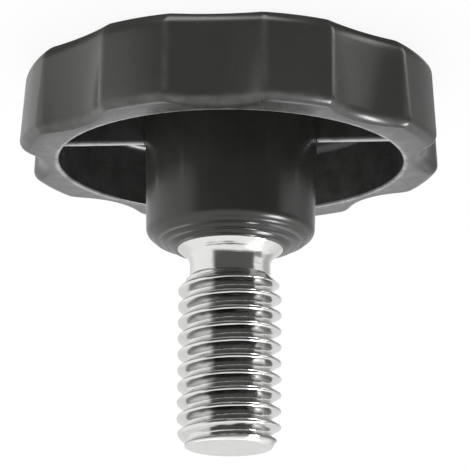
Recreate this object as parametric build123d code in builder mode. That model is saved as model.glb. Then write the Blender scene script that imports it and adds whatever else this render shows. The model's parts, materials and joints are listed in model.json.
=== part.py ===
"""Lobed clamping knob with a threaded steel stud, standing on its head with the stud up."""

import os
from math import radians, tan

from build123d import *

os.makedirs("parts", exist_ok=True)

# Driving dimensions, in millimetres and degrees
# Rim: lobes parted by flutes, which are deeper at the open edge than at the top of the knob
lobe_count = 8
lobe_radius = 16.55
rim_height = 7.2
wall_draft = 4.2
flute_half_angle = 13.0
flute_depth = 1.6
flute_top_share = 0.4
top_round = 1.5
open_round = 0.9
corner_margin = 0.2

# Hollow between the rim and the hub, with two straight ribs across it
rim_wall = 3.2
hollow_draft = 1.5
floor_thickness = 2.2
root_round = 0.8
lip_round = 0.2
rib_thickness = 0.8
rib_drop = 1.7
rib_round = 0.25

# Hub: drafted post with a rounded edge and a shallow cone that ends at the stud
hub_radius = 6.5
hub_height = 14.1
hub_draft = 1.2
hub_round = 0.8
nose_angle = 25.0

# Stud: the M8 length, with a bevelled tip, an undercut neck and a bevelled collar at the hub
thread_radius = 4.0
thread_pitch = 1.25
thread_depth_share = 0.6134
crest_flat_share = 0.125
flank_angle = 30.0
stud_reach = 15.55
tip_bevel = 0.7
tip_length = 1.15
tip_round = 0.25
neck_depth = 0.9
neck_length = 1.4
collar_step = 0.1
collar_bevel = 0.8

# Root of the stud, held in the hub by a flange and a groove
shank_depth = 0.3
root_start = 3.5
flange_step = 1.3
flange_height = 2.0
flat_depth = 0.7
groove_depth = 0.4
groove_height = 2.0

# Worked out from the driving dimensions
lobe_pitch = 360 / lobe_count
top_radius = lobe_radius - rim_height * tan(radians(wall_draft))
neck_radius = thread_radius - neck_depth
tip_radius = thread_radius - tip_bevel
collar_radius = thread_radius + collar_step
shank_radius = thread_radius - shank_depth
flange_radius = shank_radius + flange_step
groove_radius = shank_radius - groove_depth
hollow_radius = lobe_radius - rim_wall
hollow_floor_radius = hollow_radius - (rim_height - floor_thickness) * tan(radians(hollow_draft))
hub_shoulder = hub_height - (hub_radius - collar_radius) * tan(radians(nose_angle))
hub_base_radius = hub_radius + (hub_shoulder - floor_thickness) * tan(radians(hub_draft))
hub_mouth_radius = hub_radius + (hub_shoulder - rim_height) * tan(radians(hub_draft))
rib_height = rim_height - rib_drop - floor_thickness / 2
rib_reach = (hollow_radius + lobe_radius - flute_depth) / 2
flange_top = root_start + flange_height
groove_top = flange_top + groove_height
collar_start = hub_height - collar_bevel
neck_start = hub_height + collar_bevel
neck_end = neck_start + neck_length
thread_start = neck_end + neck_depth
stud_tip = hub_height + stud_reach
thread_end = stud_tip - tip_length
thread_turns = int((thread_end - thread_start) // thread_pitch)
crest_flat = thread_pitch * crest_flat_share
thread_depth = thread_pitch * thread_depth_share
thread_root_radius = thread_radius - thread_depth
flank_rise = thread_depth * tan(radians(flank_angle))


def on_circle(radius, angle):
    """Point at an angle from +X, in degrees, on a circle about the origin."""
    return Vector(radius, 0).rotate(Axis.Z, angle)


def draw_rim_outline(radius, depth):
    """Closed ring of flute arcs and lobe arcs, with the middle of one flute on -Y."""
    for turn in range(lobe_count):
        flute_angle = turn * lobe_pitch - 90
        lobe_start = flute_angle + flute_half_angle
        ThreePointArc(
            on_circle(radius, flute_angle - flute_half_angle),
            on_circle(radius - depth, flute_angle),
            on_circle(radius, lobe_start),
        )
        CenterArc((0, 0), radius, lobe_start, lobe_pitch - 2 * flute_half_angle)


def thread_groove(start):
    """Section of one ring-shaped groove, from the end of one crest to the start of the next."""
    end = start + thread_pitch - crest_flat
    return [
        (thread_radius, start),
        (thread_root_radius, start + flank_rise),
        (thread_root_radius, end - flank_rise),
        (thread_radius, end),
    ]


# Threaded stud, turned in one piece, with rings at the thread's pitch in place of the helix
with BuildPart() as threaded_stud:
    first_groove = thread_start + crest_flat
    grooves = [thread_groove(first_groove + turn * thread_pitch) for turn in range(thread_turns)]
    with BuildSketch(Plane.XZ):
        with BuildLine():
            Polyline(
                (0, root_start),
                (flange_radius, root_start),
                (flange_radius, flange_top),
                (groove_radius, flange_top),
                (groove_radius, groove_top),
                (shank_radius, groove_top),
                (shank_radius, collar_start),
                (collar_radius, hub_height),
                (neck_radius, neck_start),
                (neck_radius, neck_end),
                (thread_radius, thread_start),
                *(point for groove in grooves for point in groove),
                (thread_radius, thread_end),
                (tip_radius, stud_tip),
                (0, stud_tip),
                close=True,
            )
        make_face()
    revolve(axis=Axis.Z)
    fillet(threaded_stud.faces().sort_by(Axis.Z)[-1].edges(), tip_round)

    # Two flats on the flange keep the stud from turning in the hub
    with BuildSketch(Plane.XY.offset(root_start)):
        Circle(flange_radius)
        Rectangle(2 * (flange_radius - flat_depth), 2 * flange_radius, mode=Mode.SUBTRACT)
    extrude(amount=flange_height, mode=Mode.SUBTRACT)

# Knob body, moulded around the root of the stud in one piece
with BuildPart() as knob_body:
    # Head, from its flat top to the open edge of the rim
    with BuildSketch(Plane.XY) as top_outline:
        with BuildLine():
            draw_rim_outline(top_radius, flute_depth * flute_top_share)
        make_face()
        fillet(top_outline.vertices(), top_round + corner_margin)
    with BuildSketch(Plane.XY.offset(rim_height)) as open_outline:
        with BuildLine():
            draw_rim_outline(lobe_radius, flute_depth)
        make_face()
        fillet(open_outline.vertices(), open_round + corner_margin)
    loft(ruled=True)
    fillet(knob_body.faces().sort_by(Axis.Z)[0].edges(), top_round)
    fillet(knob_body.faces().sort_by(Axis.Z)[-1].edges(), open_round)

    # Hub, up to the cone that meets the stud
    with BuildSketch(Plane.XZ):
        with BuildLine():
            Polyline(
                (0, floor_thickness),
                (hub_base_radius, floor_thickness),
                (hub_radius, hub_shoulder),
                (collar_radius, hub_height),
                (0, hub_height),
                close=True,
            )
        hub_face = make_face()
        fillet(hub_face.vertices().group_by(Axis.X)[-2], hub_round)
    revolve(axis=Axis.Z)

    # Ring-shaped hollow, rounded into its floor and at its lip
    with BuildSketch(Plane.XZ):
        with BuildLine():
            Polyline(
                (hub_base_radius, floor_thickness),
                (hollow_floor_radius, floor_thickness),
                (hollow_radius, rim_height),
                (hub_mouth_radius, rim_height),
                close=True,
            )
        hollow_face = make_face()
        fillet(hollow_face.vertices().group_by(Axis.Y)[0], root_round)
    revolve(axis=Axis.Z, mode=Mode.SUBTRACT)
    open_face = knob_body.faces().filter_by(Axis.Z).sort_by(Axis.Z)[-2]
    fillet(open_face.inner_wires()[0].edges(), lip_round)

    # Two ribs in line through the hub, from rim to rim, a little below the open edge
    with BuildSketch(Plane.YZ.offset(-rib_reach)):
        with Locations((0, floor_thickness / 2)):
            Rectangle(rib_thickness, rib_height, align=(Align.CENTER, Align.MIN))
        fillet(vertices().group_by(Axis.Y)[-1], rib_round)
    extrude(amount=2 * rib_reach)

    # Room for the root of the stud, face to face with it
    add(threaded_stud.part, mode=Mode.SUBTRACT)

knob_body.part.label = "knob_body"
threaded_stud.part.label = "threaded_stud"
export_step(knob_body.part, "parts/knob_body.step")
export_step(threaded_stud.part, "parts/threaded_stud.step")
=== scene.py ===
"""Looks of a lobed clamping knob: a moulded black plastic body and a bright threaded steel stud."""

import json
from math import cos, degrees, pi, radians, sin, tan

import bpy
import numpy as np
from bpy.props import FloatProperty, FloatVectorProperty, IntProperty, PointerProperty
from mathutils import Matrix, Vector


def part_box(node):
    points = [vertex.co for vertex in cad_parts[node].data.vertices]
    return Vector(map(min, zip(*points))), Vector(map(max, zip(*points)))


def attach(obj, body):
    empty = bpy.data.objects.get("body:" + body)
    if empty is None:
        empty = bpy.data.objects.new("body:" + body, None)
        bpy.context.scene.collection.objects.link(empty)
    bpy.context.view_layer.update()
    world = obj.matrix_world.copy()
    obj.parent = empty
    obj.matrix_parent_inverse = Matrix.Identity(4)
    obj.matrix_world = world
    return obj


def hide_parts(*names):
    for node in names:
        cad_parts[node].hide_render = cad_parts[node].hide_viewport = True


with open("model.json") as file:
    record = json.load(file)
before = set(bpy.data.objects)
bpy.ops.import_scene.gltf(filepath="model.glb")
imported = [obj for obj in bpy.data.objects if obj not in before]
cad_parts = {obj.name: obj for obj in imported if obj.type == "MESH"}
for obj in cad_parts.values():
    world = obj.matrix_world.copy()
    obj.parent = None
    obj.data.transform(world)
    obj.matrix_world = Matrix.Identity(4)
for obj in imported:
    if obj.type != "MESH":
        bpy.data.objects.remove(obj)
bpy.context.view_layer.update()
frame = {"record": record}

bl_info = {
    "name": "Lobed Knob",
    "version": (1, 0, 0),
    "blender": (4, 5, 0),
    "location": "View3D > Sidebar > Knob",
    "description": "Builds a lobed clamping knob with a threaded stud, its materials and a photo stage",
    "category": "Add Mesh",
}

MM = 0.001
BODY = "root"
STUD_MOUNT = next(mount for mount in frame["record"]["mounts"] if mount["name"] == "stud")
HUB_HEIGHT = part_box("knob_body")[1].z
STUD_FOOT, STUD_TIP = (corner.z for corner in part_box("threaded_stud"))

# Form of a metric thread: shares of its pitch, and the lean of its flanks from a plane across the axis
CREST_FLAT_SHARE = 0.125
THREAD_DEPTH_SHARE = 0.6134
FLANK_ANGLE = radians(30)

# Edges that are sharper than this are shaded as edges
SHARP_ANGLE = radians(38)

# Rings on a flat end, as shares of the radius of its edge
FLAT_TOP_SHARES = np.array([[0.3], [0.7], [0.97]])
FLAT_TIP_SHARES = np.array([[0.97], [0.6], [0.2]])

# Lamps: degrees to the picture's right of the camera and above the horizon, width, brightness seen from
# the knob, and whether it only makes glints
LAMPS = {
    "Key lamp": (-84, 6, 160 * MM, 5, False),
    "Low lamp": (0, -52, 260 * MM, 5, False),
    "Back lamp": (180, 42, 220 * MM, 5, False),
    "Glint lamp": (85, 47, 110 * MM, 22, True),
}

# Brightness of the room as the knob mirrors it, where 1 is white
WALL_LIGHT = 1.0
BACK_WALL_LIGHT = 0.8
GREY_SIDE_LIGHT = 0.5
OPENING_LIGHT = 0.1
SIDE_LAMP_LIGHT = 3.0
BACK_LAMP_LIGHT = 1.5
LOW_LAMP_LIGHT = 4.0

# How far the recess goes towards the opening's brightness, and how much of the light is left below
RECESS_SHARE = 0.8
UNDERSIDE_SHARE = 0.07


def linear_colour(hex_code):
    """Linear red, green and blue of an sRGB hex code such as #2b2b2a."""
    channels = np.array([int(hex_code[place : place + 2], 16) for place in (1, 3, 5)]) / 255
    linear = np.where(channels <= 0.04045, channels / 12.92, ((channels + 0.055) / 1.055) ** 2.4)
    return tuple(float(channel) for channel in linear)


def length(name, description, default):
    """Length property in metres, with its default given in millimetres."""
    return FloatProperty(
        name=name, description=description, default=default * MM, min=0, unit="LENGTH", precision=5
    )


def angle(name, description, default):
    """Angle property, with its default given in degrees."""
    return FloatProperty(name=name, description=description, default=radians(default), subtype="ANGLE")


def portion(name, description, default, most=1.0):
    """Property for a share or strength, from zero to the most that makes sense."""
    return FloatProperty(
        name=name, description=description, default=default, min=0, max=most, subtype="FACTOR"
    )


def optic(name, description, default):
    """Property for a size in the camera, in millimetres as Blender's cameras have it."""
    return FloatProperty(name=name, description=description, default=default, min=1, unit="CAMERA")


def count(name, description, default, least, most):
    """Whole number property between two limits."""
    return IntProperty(name=name, description=description, default=default, min=least, max=most)


def colour(name, description, hex_code):
    """Colour property, with its default given as an sRGB hex code."""
    return FloatVectorProperty(
        name=name, description=description, default=linear_colour(hex_code), subtype="COLOR", min=0, max=1
    )


class KnobBodySettings(bpy.types.PropertyGroup):
    """Sizes, colours, painted highlights and painted light of the moulded body"""

    lobe_count: count("Lobes", "Number of lobes round the rim", 8, 4, 12)
    lobe_radius: length("Lobe radius", "Radius over the lobes at the open edge", 16.55)
    rim_height: length("Rim height", "Height of the rim, from the flat top to the open edge", 7.2)
    wall_draft: angle("Wall draft", "Lean of the lobes, wider at the open edge", 4.2)
    flute_half_angle: angle("Flute half angle", "Half of the angle that a flute takes up", 13)
    flute_depth: length("Flute depth", "Depth of a flute at the open edge", 1.6)
    flute_top_share: portion("Flute top share", "Depth at the top as a share of that at the edge", 0.4)
    corner_round: length("Corner round", "Radius of the corner between a lobe and a flute", 0.92)
    top_round: length("Top round", "Radius of the edge of the flat top", 1.5)
    open_round: length("Open edge round", "Radius of the outer edge on the open side", 0.9)
    rim_wall: length("Rim wall", "Distance from the lobes to the hollow at the open edge", 3.2)
    hollow_draft: angle("Hollow draft", "Lean of the hollow's outer wall", 1.5)
    floor_thickness: length("Floor thickness", "Thickness of the head under the hollow", 2.2)
    root_round: length("Root round", "Radius between the hollow's walls and its floor", 0.8)
    lip_round: length("Lip round", "Radius of the hollow's lip", 0.2)
    rib_thickness: length("Rib thickness", "Thickness of a rib at its top", 0.8)
    rib_lean: length("Rib lean", "How much further out a rib's side is at its foot", 0.04)
    rib_drop: length("Rib drop", "Distance from the open edge down to the top of a rib", 1.7)
    rib_round: length("Rib round", "Radius of a rib's top edges", 0.36)
    hub_radius: length("Hub radius", "Radius of the hub at its shoulder", 6.5)
    hub_draft: angle("Hub draft", "Lean of the hub's side", 1.2)
    hub_round: length("Hub round", "Radius of the hub's shoulder", 0.8)
    nose_angle: angle("Nose angle", "Slope of the cone between the hub's shoulder and the stud", 25)
    nose_rings: count("Nose rings", "Low rings round the nose", 3, 0, 8)
    ring_height: length("Ring height", "Height of the low rings round the nose", 0.09)
    plastic: colour("Plastic", "Colour of the moulded plastic", "#2c2c2a")
    # Pale colour painted on the plastic as highlights on its edges and ribs, and as light in the hollow
    painted_light_plastic: colour("Painted light plastic", "Pale colour painted on the plastic for highlights and light", "#bababa")
    # Painted highlight lines on the corners between lobes and flutes
    corner_highlight: portion("Corner highlight", "Painted highlight on the corners between lobes and flutes", 0.045)
    # Painted band of light along the outer edge of the open side
    edge_light: portion("Edge light", "Painted light on the outer edge of the open side", 0.12)
    # Painted highlight along the hollow's lip
    lip_highlight: portion("Lip highlight", "Painted highlight on the hollow's lip", 0.8)
    # Painted highlight on the tops of the ribs
    rib_highlight: portion("Rib highlight", "Painted highlight on the tops of the ribs", 1.5, most=2)
    # Painted light that lifts the shade on the hollow's wall and floor and round the hub's foot
    hollow_painted_light: portion("Hollow light", "Painted light on the hollow's wall and floor", 0.08)
    hub_painted_light: portion("Hub foot light", "Painted light round the foot of the hub", 0.03)


class KnobStudSettings(bpy.types.PropertyGroup):
    """Sizes and colour of the threaded stud"""

    thread_radius: length("Thread radius", "Radius over the thread's crests", STUD_MOUNT["dims"]["r_mm"])
    thread_pitch: length("Thread pitch", "Distance from one crest to the next", 1.25)
    crest_height: length("First crest", "Height of a crest on the +X side", 17.47)
    crest_round: length("Crest round", "Radius of the thread's crests", 0.1)
    thread_root_round: length("Root round", "Radius of the thread's roots", 0.18)
    neck_depth: length("Neck depth", "Depth of the undercut below the crests", 0.9)
    neck_length: length("Neck length", "Length of the straight part of the undercut", 1.4)
    collar_step: length("Collar step", "How far the collar stands out past the crests", 0.1)
    collar_bevel: length("Collar bevel", "Height of the collar's bevel above the hub", 0.8)
    neck_round: length("Neck round", "Radius between the collar's bevel and the neck", 0.95)
    tip_bevel: length("Tip bevel", "Width of the bevel at the tip", 0.7)
    tip_length: length("Tip length", "Length of the bevel at the tip", 1.15)
    tip_round: length("Tip round", "Radius of the edge of the end face", 0.25)
    edge_round: length("Edge round", "Radius of the turned edges", 0.08)
    shank_depth: length("Shank depth", "Depth of the hidden shank below the crests", 0.3)
    flange_step: length("Flange step", "How far the hidden flange stands out past the shank", 1.3)
    flange_height: length("Flange height", "Thickness of the hidden flange", 2.0)
    flat_depth: length("Flat depth", "Depth of the two flats on the hidden flange", 0.7)
    groove_depth: length("Groove depth", "Depth of the hidden groove below the shank", 0.4)
    groove_height: length("Groove height", "Height of the hidden groove", 2.0)
    steel: colour("Steel", "Colour of the plated steel", "#ebebe9")


class KnobStageSettings(bpy.types.PropertyGroup):
    """Camera, floor and light"""

    camera_azimuth: angle("Camera azimuth", "Turn of the camera from -Y towards -X", 4.43)
    camera_elevation: angle("Camera elevation", "Height of the camera above the horizon", 15.92)
    camera_roll: angle("Camera roll", "Turn of the picture, which has the stud hanging down", 180.44)
    camera_distance: length("Camera distance", "Distance from the camera to the point it looks at", 228.3)
    camera_side: length("Camera side", "How far the camera looks past the axis, towards -X", 0.35)
    camera_aim: length("Camera aim", "Height of the point that the camera looks at", 12.91)
    camera_lens: optic("Lens", "Focal length of the lens", 226.7)
    camera_sensor: optic("Sensor", "Width of the sensor", 36)
    floor: colour("Floor", "Colour of the floor", "#f4f4f4")
    floor_reach: length("Floor reach", "Distance from the knob to each edge of the floor", 3000)
    floor_white: portion("Floor white", "Share of plain white in the floor that the camera sees", 0.92)
    sky_level: portion("Sky level", "Strength of the even light all round", 0.7, most=10)
    lamp_distance: length("Lamp distance", "Distance from the lamps to the knob", 300)
    room_radius: length("Room radius", "Radius of the room that the knob mirrors", 400)


def ramp(value, low, high):
    """Smooth step from 0 at low to 1 at high."""
    share = np.clip((value - low) / (high - low), 0, 1)
    return share**2 * (3 - 2 * share)


def band(value, start, full, ease, end):
    """Smooth step from 0 at start to 1 at full, and back from 1 at ease to 0 at end."""
    return ramp(value, start, full) * (1 - ramp(value, ease, end))


def bell(value, middle, width):
    """Bell curve of height 1 about its middle."""
    return np.exp(-(((value - middle) / width) ** 2))


def smooth_min(first, second, blend):
    """Lesser of two values, eased by a parabola where they differ by less than blend."""
    overlap = np.maximum(blend - np.abs(first - second), 0) / blend
    return np.minimum(first, second) - overlap**2 * blend / 4


def rounded_path(corners, rounds, steps):
    """Rows of points along straight runs, with an arc in place of each inner corner.

    Corners is a list of arrays of (radius, height) pairs, one pair for each column, and rounds gives the
    arcs' radii. Each arc touches its two runs at round / tan(half) from the corner, where half is half of
    the angle between the runs, and its points turn from one touching point to the other about the centre.
    """
    rows = [corners[0]]
    for before, corner, after, turn_round in zip(corners, corners[1:], corners[2:], rounds):
        back = (before - corner) / np.linalg.norm(before - corner, axis=-1, keepdims=True)
        onward = (after - corner) / np.linalg.norm(after - corner, axis=-1, keepdims=True)
        half = np.arccos(np.clip((back * onward).sum(-1, keepdims=True), -1, 1)) / 2
        reach = np.reshape(turn_round, (-1, 1)) / np.tan(half)
        bisector = (back + onward) / np.linalg.norm(back + onward, axis=-1, keepdims=True)
        centre = corner + bisector * reach / np.cos(half)
        sweep = pi - 2 * half
        for share in np.linspace(0, 1, steps):
            first = np.sin((1 - share) * sweep) * (corner + back * reach - centre)
            second = np.sin(share * sweep) * (corner + onward * reach - centre)
            rows.append(centre + (first + second) / np.sin(sweep))
    rows.append(corners[-1])
    return np.array(rows)


def rounded_line(corners, rounds, steps):
    """Rounded path of one column, through corners that are single (distance, height) pairs."""
    return rounded_path(list(np.array(corners)[:, None]), rounds, steps)[:, 0]


def closed_skin(name, radius, turn, height, mark):
    """Mesh of a closed skin round the Z axis, from arrays that have a row for each ring.

    A point is (radius cos angle, radius sin angle, height). Neighbouring rings are joined by quads, and
    the first and last rings are closed by fans of triangles to points on the axis at their own heights.
    Mark is kept at each point for the material to read.
    """
    rows, columns = radius.shape
    rings = np.stack([radius * np.cos(turn), radius * np.sin(turn), height], axis=-1).reshape(-1, 3)
    poles = np.array([[0, 0, height[0].mean()], [0, 0, height[-1].mean()]])
    points = np.concatenate([rings, poles])
    index = np.arange(rows * columns).reshape(rows, columns)
    onward = np.roll(index, -1, axis=1)
    quads = np.stack([index[:-1], onward[:-1], onward[1:], index[1:]], axis=-1).reshape(-1, 4)
    start = np.stack([np.full(columns, rows * columns), onward[0], index[0]], axis=-1)
    end = np.stack([np.full(columns, rows * columns + 1), index[-1], onward[-1]], axis=-1)
    mesh = bpy.data.meshes.new(name)
    mesh.from_pydata(points.tolist(), [], quads.tolist() + start.tolist() + end.tolist())
    kept = mesh.attributes.new("mark", "FLOAT", "POINT")
    kept.data.foreach_set("value", np.append(mark.ravel(), [0, 0]).astype(np.float32))
    mesh.shade_smooth()
    mesh.set_sharp_from_angle(angle=SHARP_ANGLE)
    mesh.update()
    return mesh


def link_object(name, data):
    """New object for a mesh, lamp or camera, linked to the scene."""
    item = bpy.data.objects.new(name, data)
    bpy.context.scene.collection.objects.link(item)
    return item


def add_piece(name, mesh, material, node):
    """Object for a finished mesh with the given material, standing for a node of the frame, which it
    hides.
    """
    mesh.materials.append(material)
    piece = link_object(name, mesh)
    weighted = piece.modifiers.new("Even shading", "WEIGHTED_NORMAL")
    weighted.keep_sharp = True
    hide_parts(node)
    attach(piece, BODY)


def from_flute(turn, sizes):
    """Angle from the middle of the nearest flute, with one of the flutes on +X."""
    pitch = 2 * pi / sizes.lobe_count
    return (turn + pitch / 2) % pitch - pitch / 2


def rim_wall_radius(turn, height, sizes):
    """Distance from the axis to the rim's outer wall at each angle and height.

    The lobe circle and the flute depth both change evenly with the height. A flute is an arc through its
    two corners on the lobe circle and its deepest point: seen from the axis, an arc of radius a about a
    centre at distance c lies at c cos t - sqrt(a^2 - c^2 sin^2 t). The wall is the lesser of the two.
    Where the flute leaves the circle with a slope of s, they are eased over r s^2 / 2, which gives the
    corner a round of about r.
    """
    share = height / sizes.rim_height
    lobe = sizes.lobe_radius - (sizes.rim_height - height) * tan(sizes.wall_draft)
    deepest = lobe - sizes.flute_depth * (sizes.flute_top_share + (1 - sizes.flute_top_share) * share)
    half = sizes.flute_half_angle
    centre = (lobe**2 - deepest**2) / (2 * (lobe * cos(half) - deepest))
    arc = centre - deepest
    across = from_flute(turn, sizes)
    flute = centre * np.cos(across) - np.sqrt(np.maximum(arc**2 - (centre * np.sin(across)) ** 2, 0))
    offset = centre * sin(half)
    slope = offset * (centre * cos(half) / np.sqrt(arc**2 - offset**2) - 1) / lobe
    return smooth_min(lobe, flute, sizes.corner_round * slope**2 / 2)


def rim_rows(sizes):
    """Inset from the rim's wall and height of each ring over the top round, the wall and the open round.

    On a round of radius p between a wall with draft d and a flat, a point whose normal rises by e lies
    p sin e above the centre and p (sin e tan d + 1 / cos d - cos e) in from the wall.
    """
    top_steps = 10
    wall_steps = 8
    open_steps = 12
    draft = sizes.wall_draft
    inset, height = [], []
    for size, middle, start, end, steps in (
        (sizes.top_round, sizes.top_round, -pi / 2, -draft, top_steps),
        (sizes.open_round, sizes.rim_height - sizes.open_round, -draft, pi / 2, open_steps),
    ):
        rise = np.linspace(start, end, steps)
        inset.append(size * (np.sin(rise) * tan(draft) + 1 / cos(draft) - np.cos(rise)))
        height.append(middle + size * np.sin(rise))
    wall = np.linspace(height[0][-1], height[1][0], wall_steps)[1:-1]
    return np.concatenate([inset[0], 0 * wall, inset[1]]), np.concatenate([height[0], wall, height[1]])


def rim_part(turn, sizes):
    """Radius, angle, height and painted light of the rings from the middle of the flat top to the open
    edge.

    The painted light is a bell curve about the corners between lobes and flutes, which makes highlight
    lines there, and one about the outer edge on the open side, a third of the way down its round.
    """
    corner_highlight_angle = radians(0.9)
    edge_light_share = 0.35
    inset, height = rim_rows(sizes)
    wall = rim_wall_radius(turn, height[:, None], sizes) - inset[:, None]
    radius = np.concatenate([wall[:1] * FLAT_TOP_SHARES, wall])
    level = np.append(np.zeros(len(FLAT_TOP_SHARES)), height)
    level = np.repeat(level[:, None], turn.size, axis=1)
    across = np.abs(from_flute(turn, sizes))
    # Painted highlight lines at the corners, and a painted band of light a third of the way down the open
    # round
    corner_highlight = sizes.corner_highlight * bell(across, sizes.flute_half_angle, corner_highlight_angle)
    rise = (level - sizes.rim_height) / sizes.open_round
    edge_light = sizes.edge_light * bell(rise, -edge_light_share, edge_light_share)
    mark = np.maximum(corner_highlight * ramp(level, 0, sizes.top_round), edge_light)
    return radius, np.repeat(turn, len(radius), axis=0), level, mark


def rib_section(sizes):
    """Distance from a rib's middle, and height, of half of its section, from its top to the floor."""
    half = sizes.rib_thickness / 2
    top = sizes.rim_height - sizes.rib_drop
    foot = half + sizes.rib_lean
    corners = [
        (0, top),
        (half, top),
        (foot, sizes.floor_thickness),
        (foot + 2 * sizes.rib_round, sizes.floor_thickness),
    ]
    return rounded_line(corners, [sizes.rib_round, sizes.rib_round], steps=6).T


def column_spread(side, sizes):
    """Places of a quarter turn's columns past the ribs, as shares of the way to the Y axis.

    Columns crowd near the corners between lobes and flutes, where the wall turns.
    """
    corner_steps = 12
    wide_steps = 20
    near = radians(2)
    edge = np.arcsin(side[-1] / (sizes.lobe_radius - sizes.rim_wall))
    pitch = 2 * pi / sizes.lobe_count
    middles = np.arange(0, pi / 2 + pitch, pitch)
    corners = np.append(middles - sizes.flute_half_angle, middles + sizes.flute_half_angle)
    corners = np.sort(corners[(corners > edge) & (corners < pi / 2)])
    stops = np.ravel([corners - near, corners + near], order="F")
    stops = np.concatenate([[edge], stops, [pi / 2]])
    turns = [
        np.linspace(low, high, corner_steps if place % 2 else wide_steps, endpoint=False)
        for place, (low, high) in enumerate(zip(stops, stops[1:]))
    ]
    return (np.append(np.concatenate(turns), pi / 2)[1:] - edge) / (pi / 2 - edge)


def column_turns(radius, side, spread):
    """Angles of the columns at each radius, a ring for each radius.

    In a quarter turn, the first columns keep their distance from the X axis, so that they run along a
    rib: their angle is arcsin(side / radius). The others share out what is left up to the Y axis. The
    quarter is then mirrored about both axes.
    """
    along = np.arcsin(side / radius[:, None])
    edge = along[:, -1:]
    quarter = np.concatenate([along, edge + spread * (pi / 2 - edge)], axis=1)
    return np.concatenate(
        [quarter, pi - quarter[:, -2::-1], pi + quarter[:, 1:], 2 * pi - quarter[:, -2:0:-1]], axis=1
    )


def mirrored(quarter):
    """Values of a quarter turn's columns, mirrored about both axes to give the whole turn's."""
    return np.concatenate([quarter, quarter[-2::-1], quarter[1:], quarter[-2:0:-1]])


def nose_rows(outer, inner, turn, sizes):
    """Rows from the shoulder's round to the collar, lifted square to the cone into low uneven rings.

    The lift is height |sin(pi count share)|, where share goes from 0 at the shoulder to 1 at the collar.
    Two waves round the axis, of two and five swells, make the height swell and fade by a third.
    """
    rows_per_ring = 10
    share = np.linspace(0, 1, rows_per_ring * max(sizes.nose_rings, 1) + 1)[1:, None]
    swell = 1 + 0.2 * np.sin(2 * turn + 6 * share + 1) + 0.15 * np.sin(5 * turn - 9 * share)
    lift = sizes.ring_height * np.abs(np.sin(pi * sizes.nose_rings * share)) * swell
    square = np.array([sin(sizes.nose_angle), cos(sizes.nose_angle)])
    return outer + share[..., None] * (inner - outer) + lift[..., None] * square


def hollow_part(side, rise, spread, sizes, stud):
    """Radius, angle, height and painted light of the rings from the hollow's lip to the stud.

    A rounded path goes down the hollow's wall to its floor or to the top of a rib, across to the hub, up
    the hub's side and over its nose. A painted highlight on the lip is strongest where its round starts,
    and fades down it. The tops of the ribs have a painted highlight too, and painted light lies on the
    wall, the floor and round the hub's foot.
    """
    arc_steps = 9
    floor = mirrored(np.append(rise, np.full(len(spread), sizes.floor_thickness)))
    lift = (floor - sizes.floor_thickness) / (rise[0] - sizes.floor_thickness)
    root = sizes.root_round + (sizes.rib_round / 2 - sizes.root_round) * lift
    hollow_radius = sizes.lobe_radius - sizes.rim_wall
    collar_radius = stud.thread_radius + stud.collar_step
    shoulder = HUB_HEIGHT - (sizes.hub_radius - collar_radius) * tan(sizes.nose_angle)
    corners = [
        (hollow_radius + 2 * sizes.lip_round, sizes.rim_height),
        (hollow_radius, sizes.rim_height),
        (hollow_radius - (sizes.rim_height - floor) * tan(sizes.hollow_draft), floor),
        (sizes.hub_radius + (shoulder - floor) * tan(sizes.hub_draft), floor),
        (sizes.hub_radius, shoulder),
        (collar_radius, HUB_HEIGHT),
    ]
    corners = [np.stack([radius + 0 * floor, level + 0 * floor], axis=-1) for radius, level in corners]
    path = rounded_path(corners, [sizes.lip_round, root, root, sizes.hub_round], arc_steps)
    nose_turn = column_turns(np.array([sizes.hub_radius]), side, spread)
    path = np.concatenate([path[:-1], nose_rows(path[-2], path[-1], nose_turn, sizes)])
    reach = np.clip(path[..., 0].mean(axis=1), sizes.hub_radius, hollow_radius)

    # Painted highlights and painted light, by the rows of the path's first three arcs
    lip_end = arc_steps + 1
    rib_start = lip_end + arc_steps // 2
    floor_end = lip_end + arc_steps + 1
    foot_end = floor_end + arc_steps - 1
    fading = np.linspace(sizes.lip_highlight, sizes.lip_highlight / 8, arc_steps - 1)
    # Painted highlight on the rib tops
    rib_highlight = sizes.rib_highlight * ramp(lift, 0.965, 0.985)
    mark = np.zeros(path.shape[:2])
    # Painted highlight on the lip, strongest where its round starts
    mark[:lip_end] = np.append([sizes.lip_highlight / 4, sizes.lip_highlight], fading)[:, None]
    # Painted light on the hollow's wall and floor, and round the hub's foot
    mark[lip_end:floor_end] = sizes.hollow_painted_light
    mark[floor_end:foot_end] = sizes.hub_painted_light
    mark[rib_start:floor_end] = np.maximum(mark[rib_start:floor_end], rib_highlight)
    return path[..., 0], column_turns(reach, side, spread), path[..., 1], mark


def root_rows(turn, stud):
    """Radius and height of the rings round the stud's hidden root, from the collar down to its foot.

    The flange has two flats, so there its radius is the lesser of its circle and flat / |cos angle|.
    """
    shank = stud.thread_radius - stud.shank_depth
    groove = shank - stud.groove_depth
    flange = shank + stud.flange_step
    flat = (flange - stud.flat_depth) / np.maximum(np.abs(np.cos(turn)), 0.1)
    flange_edge = np.minimum(flange, flat)
    flange_top = STUD_FOOT + stud.flange_height
    groove_top = flange_top + stud.groove_height
    rows = [
        (shank, HUB_HEIGHT - stud.collar_bevel),
        (shank, groove_top),
        (groove, groove_top),
        (groove, flange_top),
        (flange_edge, flange_top),
        (flange_edge, STUD_FOOT),
    ]
    return np.stack([[radius + 0 * turn, level + 0 * turn] for radius, level in rows], axis=1)


def bore_part(turn, stud):
    """Radius, angle, height and wear of the rings of the bore, which fits the stud's root."""
    radius, level = root_rows(turn, stud)
    return radius, np.repeat(turn[None], len(radius), axis=0), level, np.zeros_like(radius)


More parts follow.
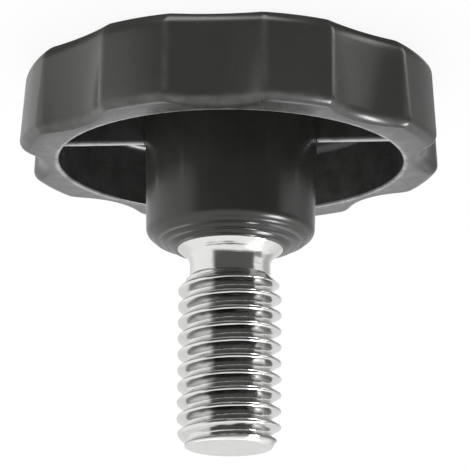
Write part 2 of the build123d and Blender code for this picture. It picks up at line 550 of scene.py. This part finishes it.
def body_skin(sizes, stud):
    """Mesh of the moulded body, as one closed skin of rings round the axis.

    The rings start at the middle of the flat top, go out over the rim, through the hollow and over the
    hub's nose, and end down the bore that holds the stud's root.
    """
    side, rise = rib_section(sizes)
    spread = column_spread(side, sizes)
    rim_turn = column_turns(np.array([sizes.lobe_radius - sizes.rim_wall]), side, spread)
    rim = rim_part(rim_turn, sizes)
    hollow = hollow_part(side, rise, spread, sizes, stud)
    bore = bore_part(hollow[1][-1], stud)
    return closed_skin("knob_body_skin", *(np.concatenate(rows) for rows in zip(rim, hollow, bore)))


def from_crest(turn, height, stud):
    """Distance up from the nearest crest, as a share of the pitch that the crests climb in each turn."""
    along = (height - stud.crest_height) / stud.thread_pitch - turn / (2 * pi)
    return along - np.round(along)


def thread_surface(turn, height, stud):
    """Distance from the axis to the thread's surface at each angle and height.

    Across one pitch the section is a crest flat of an eighth of the pitch, two flanks that fall at 30
    degrees to the crest's middle plane, and a root, with crest and root eased.
    """
    pitch = stud.thread_pitch
    away = np.abs(from_crest(turn, height, stud)) * pitch
    slope = 1 / tan(FLANK_ANGLE)
    flank = stud.thread_radius - (away - CREST_FLAT_SHARE / 2 * pitch) * slope
    root = stud.thread_radius - THREAD_DEPTH_SHARE * pitch
    crest_blend = stud.crest_round * slope**2 / 2
    root_blend = stud.thread_root_round * slope**2 / 2
    return -smooth_min(-smooth_min(stud.thread_radius, flank, crest_blend), -root, root_blend)


def stud_skin(stud):
    """Mesh of the stud, as one closed skin of rings from its hidden root to its tip.

    Over the threaded length a ring's radius is the lesser of the thread and the turned blank, which has a
    shoulder that rises from the neck at 45 degrees and a bevel at the tip that is rounded into the end
    face. Painted shade, standing for the shade between the threads, is a bell curve on the flank below
    each crest, and fades out at the neck.
    """
    columns = 160
    rows_per_pitch = 36
    shade_line_share = -0.2
    shade_line_width_share = 0.12
    turn = np.linspace(0, 2 * pi, columns, endpoint=False)
    neck = stud.thread_radius - stud.neck_depth
    neck_start = HUB_HEIGHT + stud.collar_bevel
    neck_end = neck_start + stud.neck_length
    tip = stud.thread_radius - stud.tip_bevel
    collar_corners = [
        (stud.thread_radius - stud.shank_depth, HUB_HEIGHT - stud.collar_bevel),
        (stud.thread_radius + stud.collar_step, HUB_HEIGHT),
        (neck, neck_start),
        (neck, neck_end),
    ]
    tip_corners = [(stud.thread_radius, STUD_TIP - stud.tip_length), (tip, STUD_TIP), (tip / 2, STUD_TIP)]
    collar_path = rounded_line(collar_corners, [stud.edge_round, stud.neck_round], steps=7)[1:-1]
    tip_path = rounded_line(tip_corners, [stud.tip_round], steps=9)[1:-1]

    level = np.arange(neck_end, tip_path[0, 1], stud.thread_pitch / rows_per_pitch)
    shoulder = smooth_min(neck + level - neck_end, stud.thread_radius, 2 * stud.edge_round)
    bevel = tip + (STUD_TIP - level) * stud.tip_bevel / stud.tip_length
    blank = np.append(smooth_min(shoulder, bevel, 2 * stud.edge_round), tip_path[:, 0])[:, None]
    level = np.append(level, tip_path[:, 1])[:, None]
    threaded = smooth_min(thread_surface(turn, level, stud), blank, stud.edge_round)

    root_radius, root_level = root_rows(turn, stud)[:, ::-1]
    end = threaded[-1:] * FLAT_TIP_SHARES
    radius = np.concatenate([root_radius, collar_path[:, :1] + 0 * turn, threaded, end])
    height = np.concatenate([root_level[:, :1], collar_path[:, 1:], level, 0 * FLAT_TIP_SHARES + STUD_TIP])
    height = np.repeat(height, columns, axis=1)
    # Painted shade: a dark line on the flank below each crest, where shade falls between the threads
    painted_shade = bell(from_crest(turn, height, stud), shade_line_share, shade_line_width_share)
    painted_shade *= ramp(height, neck_end, neck_end + stud.thread_pitch)
    painted_shade[-len(tip_path) - len(end) :] = 0
    return closed_skin("threaded_stud_skin", radius, np.tile(turn, (len(radius), 1)), height, painted_shade)


def empty_tree(holder):
    """Node tree of a material or world, with no nodes in it."""
    holder.use_nodes = True
    holder.node_tree.nodes.clear()
    return holder.node_tree


def add_node(tree, kind, inputs, **settings):
    """New node of a kind, with settings put on it and inputs set or linked by socket name or place."""
    node = tree.nodes.new(kind)
    for key, value in settings.items():
        setattr(node, key, value)
    for key, value in inputs.items():
        if isinstance(value, bpy.types.NodeSocket):
            tree.links.new(value, node.inputs[key])
        else:
            node.inputs[key].default_value = value
    return node


def shaded(base, share):
    """Colour that has a share of the base colour's light, with full alpha."""
    return (*(share * channel for channel in base), 1)


def moulded_nylon(sizes):
    """Black glass-filled nylon with mottled gloss, a fine grain, and pale painted light where it is
    marked.
    """
    # Moulded against smooth steel, nylon has a satin skin that mirrors the room softly. Glass fibres near
    # the skin mottle its gloss over a few millimetres and make a fine grain, drawn coarser to show.
    mottle_size = 3.5 * MM
    grain_size = 0.35 * MM
    grain_depth = 0.02 * MM
    patch_size = 1.4 * MM
    material = bpy.data.materials.new("Black glass-filled nylon, moulded")
    tree = empty_tree(material)
    place = add_node(tree, "ShaderNodeTexCoord", {}).outputs["Object"]
    mottle = add_node(
        tree,
        "ShaderNodeTexNoise",
        {"Vector": place, "Scale": 1 / mottle_size, "Detail": 3.0, "Roughness": 0.6},
    )
    tint = add_node(
        tree,
        "ShaderNodeMix",
        {"Factor": mottle.outputs["Fac"], 6: shaded(sizes.plastic, 1), 7: shaded(sizes.plastic, 1.25)},
        data_type="RGBA",
    )
    gloss = add_node(
        tree,
        "ShaderNodeMapRange",
        {"Value": mottle.outputs["Fac"], "From Min": 0.3, "From Max": 0.7, "To Min": 0.22, "To Max": 0.3},
    )
    grain = add_node(
        tree,
        "ShaderNodeTexNoise",
        {"Vector": place, "Scale": 1 / grain_size, "Detail": 2.0, "Roughness": 0.5},
    )
    bump = add_node(
        tree,
        "ShaderNodeBump",
        {"Strength": 0.06, "Distance": grain_depth, "Height": grain.outputs["Fac"]},
    )

    # Painted highlights and painted light, broken up into patches
    painted_light_mask = add_node(tree, "ShaderNodeAttribute", {}, attribute_name="mark")
    patch_noise = add_node(
        tree,
        "ShaderNodeTexNoise",
        {"Vector": place, "Scale": 1 / patch_size, "Detail": 3.0, "Roughness": 0.6},
    )
    patches = add_node(
        tree,
        "ShaderNodeMapRange",
        {"Value": patch_noise.outputs["Fac"], "From Min": 0.35, "From Max": 0.62, "To Min": 0.4},
    )
    patchy = add_node(
        tree,
        "ShaderNodeMath",
        {0: painted_light_mask.outputs["Fac"], 1: patches.outputs["Result"]},
        operation="MULTIPLY",
    )
    painted_light_mix = add_node(
        tree,
        "ShaderNodeMix",
        {"Factor": patchy.outputs["Value"], 6: tint.outputs[2], 7: shaded(sizes.painted_light_plastic, 1)},
        data_type="RGBA",
    )
    shader = add_node(
        tree,
        "ShaderNodeBsdfPrincipled",
        {
            "Base Color": painted_light_mix.outputs[2],
            "Roughness": gloss.outputs["Result"],
            "Normal": bump.outputs["Normal"],
            "IOR": 1.53,
        },
    )
    add_node(tree, "ShaderNodeOutputMaterial", {"Surface": shader.outputs["BSDF"]})
    return material


def plated_steel(stud):
    """Bright zinc-plated steel with lathe rings, shallow waves, haze, and painted shade where it is
    marked.
    """
    # Zinc plate over turned and rolled steel is a clear metal with sharp reflections. The lathe leaves
    # fine rings, drawn coarser to show, and rolling leaves shallow waves that bend the reflections.
    ring_size = 1.2 * MM
    ring_stretch = (0.2, 0.2, 10.0)
    ring_depth = 0.025 * MM
    wave_size = 1.6 * MM
    wave_depth = 0.11 * MM
    haze_size = 1.5 * MM
    material = bpy.data.materials.new("Bright zinc-plated steel, turned and rolled")
    tree = empty_tree(material)
    place = add_node(tree, "ShaderNodeTexCoord", {}).outputs["Object"]
    haze = add_node(
        tree,
        "ShaderNodeTexNoise",
        {"Vector": place, "Scale": 1 / haze_size, "Detail": 4.0, "Roughness": 0.6},
    )
    tint = add_node(
        tree,
        "ShaderNodeMix",
        {"Factor": haze.outputs["Fac"], 6: shaded(stud.steel, 0.86), 7: shaded(stud.steel, 1)},
        data_type="RGBA",
    )
    gloss = add_node(
        tree,
        "ShaderNodeMapRange",
        {"Value": haze.outputs["Fac"], "From Min": 0.3, "From Max": 0.7, "To Min": 0.1, "To Max": 0.2},
    )
    dents = add_node(
        tree,
        "ShaderNodeTexNoise",
        {"Vector": place, "Scale": 1 / wave_size, "Detail": 1.0},
    )
    waves = add_node(
        tree,
        "ShaderNodeBump",
        {"Strength": 1.0, "Distance": wave_depth, "Height": dents.outputs["Fac"]},
    )
    stretched = add_node(tree, "ShaderNodeMapping", {"Vector": place, "Scale": ring_stretch})
    rings = add_node(
        tree,
        "ShaderNodeTexNoise",
        {"Vector": stretched.outputs["Vector"], "Scale": 1 / ring_size, "Detail": 3.0},
    )
    bump = add_node(
        tree,
        "ShaderNodeBump",
        {
            "Strength": 0.4,
            "Distance": ring_depth,
            "Height": rings.outputs["Fac"],
            "Normal": waves.outputs["Normal"],
        },
    )
    # Painted shade on the thread's flanks, mixed towards a darkened copy of the steel
    painted_shade = add_node(tree, "ShaderNodeAttribute", {}, attribute_name="mark")
    darkened_steel = add_node(
        tree,
        "ShaderNodeMix",
        {"Factor": painted_shade.outputs["Fac"], 6: tint.outputs[2], 7: shaded(stud.steel, 0.2)},
        data_type="RGBA",
    )
    shader = add_node(
        tree,
        "ShaderNodeBsdfPrincipled",
        {
            "Base Color": darkened_steel.outputs[2],
            "Roughness": gloss.outputs["Result"],
            "Normal": bump.outputs["Normal"],
            "Metallic": 1.0,
        },
    )
    add_node(tree, "ShaderNodeOutputMaterial", {"Surface": shader.outputs["BSDF"]})
    return material


def stage_direction(stage, side, rise):
    """Unit vectors away from the knob, by degrees right of the camera and above the horizon.

    Right is the picture's right, which the camera's roll puts on the -X side.
    """
    turn = stage.camera_azimuth + np.radians(side)
    flat = np.cos(np.radians(rise))
    return np.stack([-np.sin(turn) * flat, -np.cos(turn) * flat, np.sin(np.radians(rise))], axis=-1)


def look_matrix(eye, target, roll=0.0):
    """Placement of a camera or lamp at eye that faces target, turned about its line of sight."""
    facing = (target - eye).to_track_quat("-Z", "Y").to_matrix().to_4x4()
    return Matrix.Translation(eye) @ facing @ Matrix.Rotation(roll, 4, "Z")


def add_lamp(stage, name, side, rise, size, radiance, mirrored_only):
    """Round soft lamp that faces the middle of the knob, as bright as radiance seen from there.

    It is never seen directly. A lamp that is only mirrored makes glints, and the others only light what
    they face. A round lamp's power is its radiance times pi times its area.
    """
    data = bpy.data.lights.new(name, "AREA")
    data.shape = "DISK"
    data.size = size
    data.energy = radiance * pi * pi * (size / 2) ** 2
    target = Vector((0, 0, stage.camera_aim))
    lamp = link_object(name, data)
    lamp.matrix_world = look_matrix(
        target + stage.lamp_distance * Vector(stage_direction(stage, side, rise)), target
    )
    lamp.visible_camera = False
    lamp.visible_glossy = mirrored_only
    lamp.visible_diffuse = not mirrored_only


def room_shade(side, rise):
    """Brightness of the room, by degrees to the picture's right of the camera and above the horizon.

    A pale room that darkens below, with a dark opening in front that ends softly on the left and sharply
    on the right, where a recess carries it on. Past that edge are a low lamp and a grey side. Another lamp
    is high at the back, and one is low in front.
    """
    away = np.abs(side)
    opening = band(side, -62, -40, 69, 73) * band(rise, -66, -52, 16, 44)
    recess = band(side, 69, 73, 96, 106) * band(rise, -12, -5, 24, 34)
    grey_side = band(side, 100, 112, 140, 160) * (1 - ramp(rise, 10, 20))
    side_lamp = band(side, 78, 81, 101, 105) * band(rise, -48, -44, -28, -24)
    back_lamp = ramp(away, 158, 164) * band(rise, 30, 34, 58, 62)
    low_lamp = (1 - ramp(away, 35, 60)) * (1 - ramp(rise, -62, -54))
    underside = 1 - ramp(rise, -40, -20)
    shade = WALL_LIGHT + (BACK_WALL_LIGHT - WALL_LIGHT) * ramp(away, 120, 150)
    shade += (GREY_SIDE_LIGHT - shade) * grey_side
    shade += (OPENING_LIGHT - shade) * np.maximum(opening, RECESS_SHARE * recess)
    shade *= 1 - (1 - UNDERSIDE_SHARE) * underside
    return shade + SIDE_LAMP_LIGHT * side_lamp + BACK_LAMP_LIGHT * back_lamp + LOW_LAMP_LIGHT * low_lamp


def add_room(stage):
    """Round shell that is seen only in reflections and glows with the room's shade at each point."""
    columns = 241
    rows = 91
    side, rise = np.meshgrid(np.linspace(-180, 180, columns), np.linspace(-90, 90, rows), indexing="ij")
    points = stage.room_radius * stage_direction(stage, side, rise)
    points[..., 2] += stage.camera_aim
    index = np.arange(side.size).reshape(side.shape)
    quads = np.stack([index[:-1, :-1], index[1:, :-1], index[1:, 1:], index[:-1, 1:]], axis=-1)
    mesh = bpy.data.meshes.new("studio_surround")
    mesh.from_pydata(points.reshape(-1, 3).tolist(), [], quads.reshape(-1, 4).tolist())
    kept = mesh.attributes.new("shade", "FLOAT", "POINT")
    kept.data.foreach_set("value", room_shade(side, rise).ravel().astype(np.float32))

    # Its many faces aren't sampled as lamps, which would leave specks
    material = bpy.data.materials.new("Studio walls and lamps")
    material.cycles.emission_sampling = "NONE"
    tree = empty_tree(material)
    level = add_node(tree, "ShaderNodeAttribute", {}, attribute_name="shade")
    glow = add_node(tree, "ShaderNodeEmission", {"Strength": level.outputs["Fac"]})
    add_node(tree, "ShaderNodeOutputMaterial", {"Surface": glow.outputs["Emission"]})
    mesh.materials.append(material)
    surround = link_object("studio_surround", mesh)
    surround.visible_camera = False
    surround.visible_diffuse = False
    surround.visible_transmission = False
    surround.visible_shadow = False


def add_floor(stage):
    """Square floor, nearly white to the camera but with the knob's soft shadow left on it.

    It casts no shadow, so that the lamp below it lights the knob.
    """
    reach = stage.floor_reach
    corners = [(-reach, -reach, 0), (reach, -reach, 0), (reach, reach, 0), (-reach, reach, 0)]
    mesh = bpy.data.meshes.new("floor")
    mesh.from_pydata(corners, [], [(0, 1, 2, 3)])
    material = bpy.data.materials.new("White background paper, matte")
    tree = empty_tree(material)
    rays = add_node(tree, "ShaderNodeLightPath", {})
    matte = add_node(tree, "ShaderNodeBsdfDiffuse", {"Color": (*stage.floor, 1)})
    glow = add_node(tree, "ShaderNodeEmission", {"Strength": 1.0})
    share = add_node(
        tree,
        "ShaderNodeMath",
        {0: rays.outputs["Is Camera Ray"], 1: stage.floor_white},
        operation="MULTIPLY",
    )
    mixed = add_node(
        tree,
        "ShaderNodeMixShader",
        {0: share.outputs["Value"], 1: matte.outputs["BSDF"], 2: glow.outputs["Emission"]},
    )
    add_node(tree, "ShaderNodeOutputMaterial", {"Surface": mixed.outputs["Shader"]})
    mesh.materials.append(material)
    floor = link_object("floor", mesh)
    floor.visible_glossy = False
    floor.visible_shadow = False


def set_world(stage):
    """Even light all round, white where it is seen, mirrored or seen through glass."""
    world = bpy.data.worlds.new("White studio")
    bpy.context.scene.world = world
    tree = empty_tree(world)
    rays = add_node(tree, "ShaderNodeLightPath", {})
    seen = rays.outputs["Is Camera Ray"]
    for ray in ("Is Glossy Ray", "Is Transmission Ray"):
        either = add_node(tree, "ShaderNodeMath", {0: seen, 1: rays.outputs[ray]}, operation="MAXIMUM")
        seen = either.outputs["Value"]
    even = add_node(tree, "ShaderNodeBackground", {"Color": (1, 1, 1, 1), "Strength": stage.sky_level})
    white = add_node(tree, "ShaderNodeBackground", {"Color": (1, 1, 1, 1), "Strength": 1.0})
    mixed = add_node(
        tree,
        "ShaderNodeMixShader",
        {0: seen, 1: even.outputs["Background"], 2: white.outputs["Background"]},
    )
    add_node(tree, "ShaderNodeOutputWorld", {"Surface": mixed.outputs["Shader"]})


def add_camera(stage):
    """Camera at the photo's viewing angle, rolled over because the picture has the stud hanging down."""
    data = bpy.data.cameras.new("Photo camera")
    data.lens = stage.camera_lens
    data.sensor_width = stage.camera_sensor
    data.clip_start = 1 * MM
    right = Vector(stage_direction(stage, 90, 0))
    outward = Vector(stage_direction(stage, 0, degrees(stage.camera_elevation)))
    target = Vector((0, 0, stage.camera_aim)) + right * stage.camera_side
    camera = link_object("Photo camera", data)
    camera.matrix_world = look_matrix(target + stage.camera_distance * outward, target, stage.camera_roll)
    bpy.context.scene.camera = camera


class KNOB_OT_body(bpy.types.Operator):
    """Build the moulded body with its lobes, flutes, hollow, ribs and hub"""

    bl_idname = "knob.build_body"
    bl_label = "Build body"

    def execute(self, context):
        sizes = context.scene.knob_body
        mesh = body_skin(sizes, context.scene.knob_stud)
        add_piece("moulded_body", mesh, moulded_nylon(sizes), "knob_body")
        return {"FINISHED"}


class KNOB_OT_stud(bpy.types.Operator):
    """Build the steel stud with its collar, neck, thread and bevelled tip"""

    bl_idname = "knob.build_stud"
    bl_label = "Build stud"

    def execute(self, context):
        stud = context.scene.knob_stud
        add_piece("steel_stud", stud_skin(stud), plated_steel(stud), "threaded_stud")
        return {"FINISHED"}


class KNOB_OT_stage(bpy.types.Operator):
    """Set up the floor, the light and the camera"""

    bl_idname = "knob.set_stage"
    bl_label = "Set stage"

    def execute(self, context):
        stage = context.scene.knob_stage
        context.scene.view_settings.view_transform = "Standard"
        add_floor(stage)
        set_world(stage)
        for name, lamp in LAMPS.items():
            add_lamp(stage, name, *lamp)
        add_room(stage)
        add_camera(stage)
        return {"FINISHED"}


class KNOB_PT_panel(bpy.types.Panel):
    """Sizes, colours and build steps of the knob"""

    bl_idname = "KNOB_PT_panel"
    bl_label = "Lobed knob"
    bl_space_type = "VIEW_3D"
    bl_region_type = "UI"
    bl_category = "Knob"

    def draw(self, context):
        for settings, operator in (
            (context.scene.knob_body, KNOB_OT_body),
            (context.scene.knob_stud, KNOB_OT_stud),
            (context.scene.knob_stage, KNOB_OT_stage),
        ):
            box = self.layout.box()
            box.operator(operator.bl_idname)
            for name in settings.bl_rna.properties.keys():
                if name not in ("rna_type", "name"):
                    box.prop(settings, name)


CLASSES = (
    KnobBodySettings,
    KnobStudSettings,
    KnobStageSettings,
    KNOB_OT_body,
    KNOB_OT_stud,
    KNOB_OT_stage,
    KNOB_PT_panel,
)


def register():
    """Register the classes and give the scene its settings."""
    for item in CLASSES:
        bpy.utils.register_class(item)
    bpy.types.Scene.knob_body = PointerProperty(type=KnobBodySettings)
    bpy.types.Scene.knob_stud = PointerProperty(type=KnobStudSettings)
    bpy.types.Scene.knob_stage = PointerProperty(type=KnobStageSettings)


def unregister():
    """Take the settings off the scene and unregister the classes."""
    del bpy.types.Scene.knob_stage
    del bpy.types.Scene.knob_stud
    del bpy.types.Scene.knob_body
    for item in reversed(CLASSES):
        bpy.utils.unregister_class(item)


def main():
    """Build the knob and its stage."""
    register()
    bpy.ops.knob.build_body()
    bpy.ops.knob.build_stud()
    bpy.ops.knob.set_stage()


if __name__ == "__main__":
    main()
